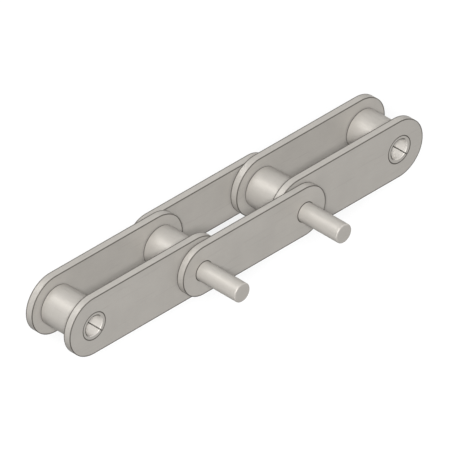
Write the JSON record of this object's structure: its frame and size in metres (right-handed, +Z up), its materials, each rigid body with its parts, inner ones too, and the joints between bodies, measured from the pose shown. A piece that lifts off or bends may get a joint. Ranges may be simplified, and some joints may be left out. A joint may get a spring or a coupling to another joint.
{
  "type": "conveyor chain",
  "caption": "Short run of double-pitch roller conveyor chain with obround link plates, free rollers and pins extended on one side.",
  "frame": {"origin": "centre of the left end bush's bore, midway between the link plates", "axes": "+X along the chain to its right end, +Z up across the plates' height, +Y along the pins towards their riveted heads, so the extended pin ends point to -Y"},
  "size_m": [0.1764, 0.0502, 0.024],
  "materials": {
    "plate_steel": "satin, deburred edges",
    "roller_steel": "turned and hardened, satin",
    "bush_steel": "curled and hardened, satin",
    "pin_steel": "ground and hardened, satin"
  },
  "bodies": {
    "outer_link": {"outer_front_plate": "plate_steel", "outer_rear_plate": "plate_steel", "left_extended_pin": "pin_steel", "right_extended_pin": "pin_steel"},
    "left_inner_link": {"left_inner_front_plate": "plate_steel", "left_inner_rear_plate": "plate_steel", "left_end_bush": "bush_steel", "left_joint_bush": "bush_steel"},
    "right_inner_link": {"right_inner_front_plate": "plate_steel", "right_inner_rear_plate": "plate_steel", "right_joint_bush": "bush_steel", "right_end_bush": "bush_steel"},
    "left_end_roller": {"left_end_roller": "roller_steel"},
    "left_joint_roller": {"left_joint_roller": "roller_steel"},
    "right_joint_roller": {"right_joint_roller": "roller_steel"},
    "right_end_roller": {"right_end_roller": "roller_steel"}
  },
  "joints": [
    {"name": "left_link_hinge", "type": "hinge", "parent": "outer_link", "child": "left_inner_link", "pos_m": [0.0508, 0, 0], "axis": [0, 1, 0], "range_deg": [-104, 104]},
    {"name": "right_link_hinge", "type": "hinge", "parent": "outer_link", "child": "right_inner_link", "pos_m": [0.1016, 0, 0], "axis": [0, 1, 0], "range_deg": [-104, 104]},
    {"name": "left_end_roller_spin", "type": "hinge", "parent": "left_inner_link", "child": "left_end_roller", "pos_m": [0, 0, 0], "axis": [0, 1, 0], "continuous": true},
    {"name": "left_joint_roller_spin", "type": "hinge", "parent": "left_inner_link", "child": "left_joint_roller", "pos_m": [0.0508, 0, 0], "axis": [0, 1, 0], "continuous": true},
    {"name": "right_joint_roller_spin", "type": "hinge", "parent": "right_inner_link", "child": "right_joint_roller", "pos_m": [0.1016, 0, 0], "axis": [0, 1, 0], "continuous": true},
    {"name": "right_end_roller_spin", "type": "hinge", "parent": "right_inner_link", "child": "right_end_roller", "pos_m": [0.1524, 0, 0], "axis": [0, 1, 0], "continuous": true}
  ]
}
